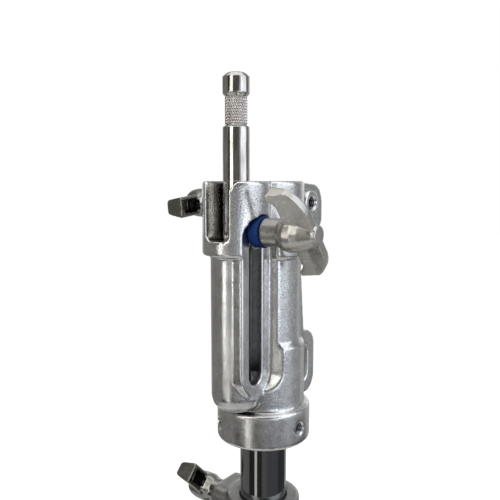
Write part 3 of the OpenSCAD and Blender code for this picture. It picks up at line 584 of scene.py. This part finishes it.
def turnedMesh(name, profile, around=96, closed=False):
    # a profile of (radius, height) in mm, turned about the upright axis; closed ones are rings
    corners, faces = [], []
    for radius, height in profile:
        for k in range(around):
            a = 2 * math.pi * k / around
            corners.append((radius * math.cos(a) * mm, radius * math.sin(a) * mm, height * mm))
    for row in range(len(profile) - 1):
        for k in range(around):
            after = (k + 1) % around
            faces.append((row * around + k, row * around + after,
                          (row + 1) * around + after, (row + 1) * around + k))
    last = (len(profile) - 1) * around
    if closed:
        faces += [(last + k, last + (k + 1) % around, (k + 1) % around, k) for k in range(around)]
    else:
        faces += [tuple(reversed(range(around))), tuple(last + k for k in range(around))]
    mesh = bpy.data.meshes.new(name)
    mesh.from_pydata(corners, [], faces)
    return crisp(mesh)


def roundedProfile(profile, radius):
    # the same profile with each inner corner taken round, over at most 0.45 of an edge
    result = [profile[0]]
    for before, here, after in zip(profile, profile[1:], profile[2:]):
        b, h, a = (np.array(p, float) for p in (before, here, after))
        back, on = b - h, a - h
        reach = min(radius, np.linalg.norm(back) * 0.45, np.linalg.norm(on) * 0.45)
        start = h + back / np.linalg.norm(back) * reach
        end = h + on / np.linalg.norm(on) * reach
        for t in (0, 0.25, 0.5, 0.75, 1):
            result.append(tuple((1 - t) ** 2 * start + 2 * t * (1 - t) * h + t * t * end))
    result.append(profile[-1])
    return result


# head casting, its bore clear of the baby pin down to where the stowed pin ends
pinLow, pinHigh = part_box("baby_pin")
pinX, pinY = 0.0, (pinLow.y + pinHigh.y) / 2
boreDepth = 131  # mm
castHead = {
    "cellMm": 0.87, "rounds": 2, "waveMm": 4.5, "waveDepthMm": 0.022, "clearMm": 0.3,
    "bores": [(pinX, pinY, (pinHigh.x - pinLow.x) / 2, headTop - boreDepth * mm, headTop + 1)],
}
castPiece("head_casting", castHead, "tumbledCastAluminium")

# tapped holes: the ear behind the knob, and the set screws round the base ring; lengths in mm
tappedEar = {
    "radius": 4.7, "start": -6.6, "end": 13.56, "pitch": 1.59, "depth": 0.55, "lip": 0.7,
    "across": 36.8, "below": 14.6,
}
tappedRing = {
    "radius": 3.9, "start": 25.7, "end": 29.3, "pitch": 1.0, "depth": 0.4, "lip": 0.4,
    "below": 151.5, "turn": -6,
}
threadCut = {"around": 40, "rowsInPitch": 8, "crest": 1.6, "wall": 0.12, "rim": 0.1, "rimDeep": 0.4}


def tappedMesh(name, look, centre, along, aside):
    # a wall with ridges that climb one pitch a turn, a chamfered lip, and a skin in the casting
    up = along.cross(aside)
    around, wall = threadCut["around"], look["radius"] + threadCut["wall"]
    start, end, lip = look["start"], look["end"], look["lip"]
    rows = int((end - start) / look["pitch"] * threadCut["rowsInPitch"])
    rings = []
    for row in range(rows + 1):
        depth = start + (end - start) * row / rows
        flare = look["radius"] + depth - (end - lip)
        ring = []
        for k in range(around):
            phase = (depth / look["pitch"] - k / around) % 1.0
            ridge = min(1.0, threadCut["crest"] * (1 - abs(2 * phase - 1)))
            ring.append((depth, max(look["radius"] - look["depth"] * ridge, flare)))
        rings.append(ring)
    rim, back = look["radius"] + lip + threadCut["rim"], threadCut["rimDeep"]
    rings += [[point] * around for point in
              ((end, rim), (end - back, rim), (end - lip - back, wall), (start, wall))]
    corners, faces = [], []
    for ring in rings:
        for k, (depth, radius) in enumerate(ring):
            a = 2 * math.pi * k / around
            out = aside * math.cos(a) + up * math.sin(a)
            corners.append(centre + (along * depth + out * radius) * mm)
    for row in range(len(rings)):
        here, after = row * around, (row + 1) % len(rings) * around
        for k in range(around):
            on = (k + 1) % around
            faces.append((here + k, after + k, after + on, here + on))
    mesh = bpy.data.meshes.new(name)
    mesh.from_pydata(corners, [], faces)
    return crisp(mesh)


def buildThreads(ear, ring):
    places = [("head_casting_ear_thread", ear,
               Vector((0, ear["across"] * mm, headTop - ear["below"] * mm)),
               Vector((1, 0, 0)), Vector((0, 1, 0)))]
    for hole in (0, 1, 2):
        a = math.radians(120 * hole + ring["turn"])
        places.append((f"head_casting_ring_thread_{hole + 1}", ring,
                       Vector((0, 0, headTop - ring["below"] * mm)),
                       Vector((math.cos(a), math.sin(a), 0)),
                       Vector((-math.sin(a), math.cos(a), 0))))
    for name, look, centre, along, aside in places:
        newPiece(name, tappedMesh(name, look, centre, along, aside), "head_casting",
                 "machinedAluminium", [])


buildThreads(tappedEar, tappedRing)
print("head ready")

# baby pin: turned body and a knurled neck; lengths in mm, heights from the top of the casting
pinShape = {
    "profile": [  # radius and height, from the foot to the crown
        (0.5, -41.0), (7.1075, -41.0), (8.1075, -40.0), (8.1075, 0.0), (7.9375, 0.1),
        (7.9375, 30.7), (6.15, 31.7), (5.85, 32.7), (5.85, 47.3), (6.45, 48.1), (7.9375, 49.5),
        (7.9375, 58.8), (5.7375, 60.9), (4.3375, 61.4), (0.5, 61.4)],
    "edgeMm": 0.7,
}
knurlShape = {
    "foot": 31.7, "top": 48.1, "radius": 6.45, "cutMm": 0.55,
    "around": 28, "diamondMm": 1.6, "points": 8,  # points across one diamond
    "rows": 81,  # of points up the neck
    "crest": 1.5, "footFade": 0.9, "topFade": 0.5, "endDrop": 0.5,
}


def buildPin(look):
    mesh = turnedMesh("baby_pin_turned", roundedProfile(look["profile"], look["edgeMm"]))
    mesh.transform(Matrix.Translation((pinX, pinY, headTop)))
    newPiece("baby_pin_turned", mesh, "baby_pin", "polishedTurnedSteel")


def buildKnurl(look):
    # two crossing sets of grooves leave pyramids
    foot, top = look["foot"], look["top"]
    around = look["around"] * look["points"]
    corners, faces = [], []
    for row in range(look["rows"] + 1):
        z = foot + (top - foot) * row / look["rows"]
        edge = min(1.0, (z - foot) / look["footFade"], (top - z) / look["topFade"])
        climb = (z - foot) / look["diamondMm"]
        for k in range(around):
            turn = look["around"] * k / around
            left, right = (turn + climb / 2) % 1.0, (turn - climb / 2) % 1.0
            crest = min(1 - abs(2 * left - 1), 1 - abs(2 * right - 1))
            groove = look["cutMm"] * (1 - min(1.0, crest * look["crest"]))
            radius = look["radius"] - groove - look["endDrop"] * (1 - max(0.0, edge))
            a = 2 * math.pi * k / around
            corners.append((pinX + radius * math.cos(a) * mm, pinY + radius * math.sin(a) * mm,
                            headTop + z * mm))
            if row:
                after = (k + 1) % around
                base = (row - 1) * around
                faces.append((base + k, base + after, row * around + after, row * around + k))
    knurl = bpy.data.meshes.new("baby_pin_knurl")
    knurl.from_pydata(corners, [], faces)
    newPiece("baby_pin_knurl", knurl, "baby_pin", "knurledSteel", [])


buildPin(pinShape)
buildKnurl(knurlShape)

# pin lock: a blue bushing and the knob on it
bushing = {"boreRadius": 5.0, "edgeMm": 0.7, "ease": 0.3}


def buildBushing(look):
    low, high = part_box("pin_lock_bushing")
    length, radius = (high.x - low.x) / mm, (high.z - low.z) / 2 / mm
    bore, edge, ease = look["boreRadius"], look["edgeMm"], look["edgeMm"] * look["ease"]
    profile = [(bore, 0), (radius - edge, 0), (radius - ease, ease), (radius, edge),
               (radius, length - edge), (radius - ease, length - ease), (radius - edge, length),
               (bore, length)]
    mesh = turnedMesh("pin_lock_bushing_turned", profile, around=72, closed=True)
    mesh.transform(Matrix.Translation((low.x, pinY, (low.z + high.z) / 2)) @
                   Matrix.Rotation(math.radians(90), 4, "Y"))
    newPiece("pin_lock_bushing_turned", mesh, "pin_lock_bushing", "mouldedBlueNylon")


buildBushing(bushing)
castKnob = {"cellMm": 0.45, "rounds": 4, "waveMm": 6.0, "waveDepthMm": 0.02}
castPiece("pin_lock_knob", castKnob, "blastedDieCastAluminium")
print("pin and its lock ready")

# lock handles
castHandle = {"cellMm": 0.55, "rounds": 2}
for place in ("receiver", "upper", "lower", "leg"):
    castPiece(f"{place}_lock_handle", castHandle, "nickelPlatedZinc")

# collars and the folding base
castCollar = {"cellMm": 1.0, "rounds": 3, "waveMm": 7.0, "waveDepthMm": 0.05}
for place in ("upper_collar", "lower_collar", "leg_collar", "brace_hub"):
    castPiece(place, castCollar, "sandCastAluminiumShaded")
castFoot = {"cellMm": 1.2, "rounds": 4, "waveMm": 7.0, "waveDepthMm": 0.05}
for leg in (1, 2, 3):
    castPiece(f"leg_foot_{leg}", castFoot, "sandCastAluminiumShaded")
print("castings ready")

# forks, braces and pedals: pressed steel with broken edges
pressedSteel = {"cellMm": 0.8, "rounds": 2, "keep": 0.25}
for number in (1, 2, 3):
    for name, finish in (("caster_fork", "zincPlatedSteel"), ("brace", "zincPlatedSteel"),
                         ("brake_pedal", "redPowderCoat")):
        castPiece(f"{name}_{number}", pressedSteel, finish, "pressed")

# wheels: a moulded centre and a tyre round it, from the bore outwards; radius and half width in mm
wheelShape = {
    "centre": [(5.05, 15.0), (6.65, 15.0), (7.25, 14.3), (9.6, 14.3), (10.2, 15.0), (12.0, 15.0),
               (12.6, 5.0), (32.5, 5.0), (35.6, 11.0), (40.0, 11.0)],
    "tyre": [(40.0, 12.0), (41.2, 13.0), (42.6, 13.0), (43.2, 12.3), (43.9, 12.3), (44.5, 13.0),
             (45.5, 13.0), (48.8, 9.5), (50.0, 5.0)],
    "edgeMm": 1.6,
    "heading": 205.0,  # the way the casters trail, degrees
}


def buildWheels(look):
    a = math.radians(look["heading"])
    axle = Vector((-math.sin(a), math.cos(a), 0))
    turn = axle.to_track_quat("Z", "Y").to_matrix().to_4x4()
    for number in (1, 2, 3):
        for name, side, finish in ((f"wheel_{number}", look["centre"], "mouldedWheelCentre"),
                                   (f"tyre_{number}", look["tyre"], "mouldedGreyRubber")):
            low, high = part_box(name)
            profile = [(r, -half) for r, half in side] + list(reversed(side))
            mesh = turnedMesh(f"{name}_moulded", roundedProfile(profile, look["edgeMm"]),
                              closed=True)
            mesh.transform(Matrix.Translation((low + high) / 2) @ turn)
            newPiece(f"{name}_moulded", mesh, name, finish)


buildWheels(wheelShape)
print("casters ready")

# finishes of the CAD pieces that stay
carried = {
    "zincPlatedSteel": ["head_set_screws", "pin_lock_stud", "receiver_lock_screw",
                        "upper_lock_screw", "lower_lock_screw", "leg_lock_screw",
                        "brace_hub_pins", "leg_collar_pins", "brace_bolt_1", "brace_bolt_2",
                        "brace_bolt_3", "axle_1", "axle_2", "axle_3"],
    "turnedBrass": ["receiver_lock_pad", "upper_lock_pad", "lower_lock_pad", "leg_lock_pad"],
    "chromePlatedTube": ["riser_top_tube", "riser_middle_tube", "column_tube"],
    "chromePlatedLeg1": ["leg_tube_1"],
    "chromePlatedLeg2": ["leg_tube_2"],
    "chromePlatedLeg3": ["leg_tube_3"],
    "mouldedBlackNylon": ["riser_top_guide", "riser_middle_guide", "column_end_plug"],
}
for finish, names in carried.items():
    for name in names:
        for holder in nodes[name].material_slots:
            holder.material = finishes[finish]

bpy.context.view_layer.update()
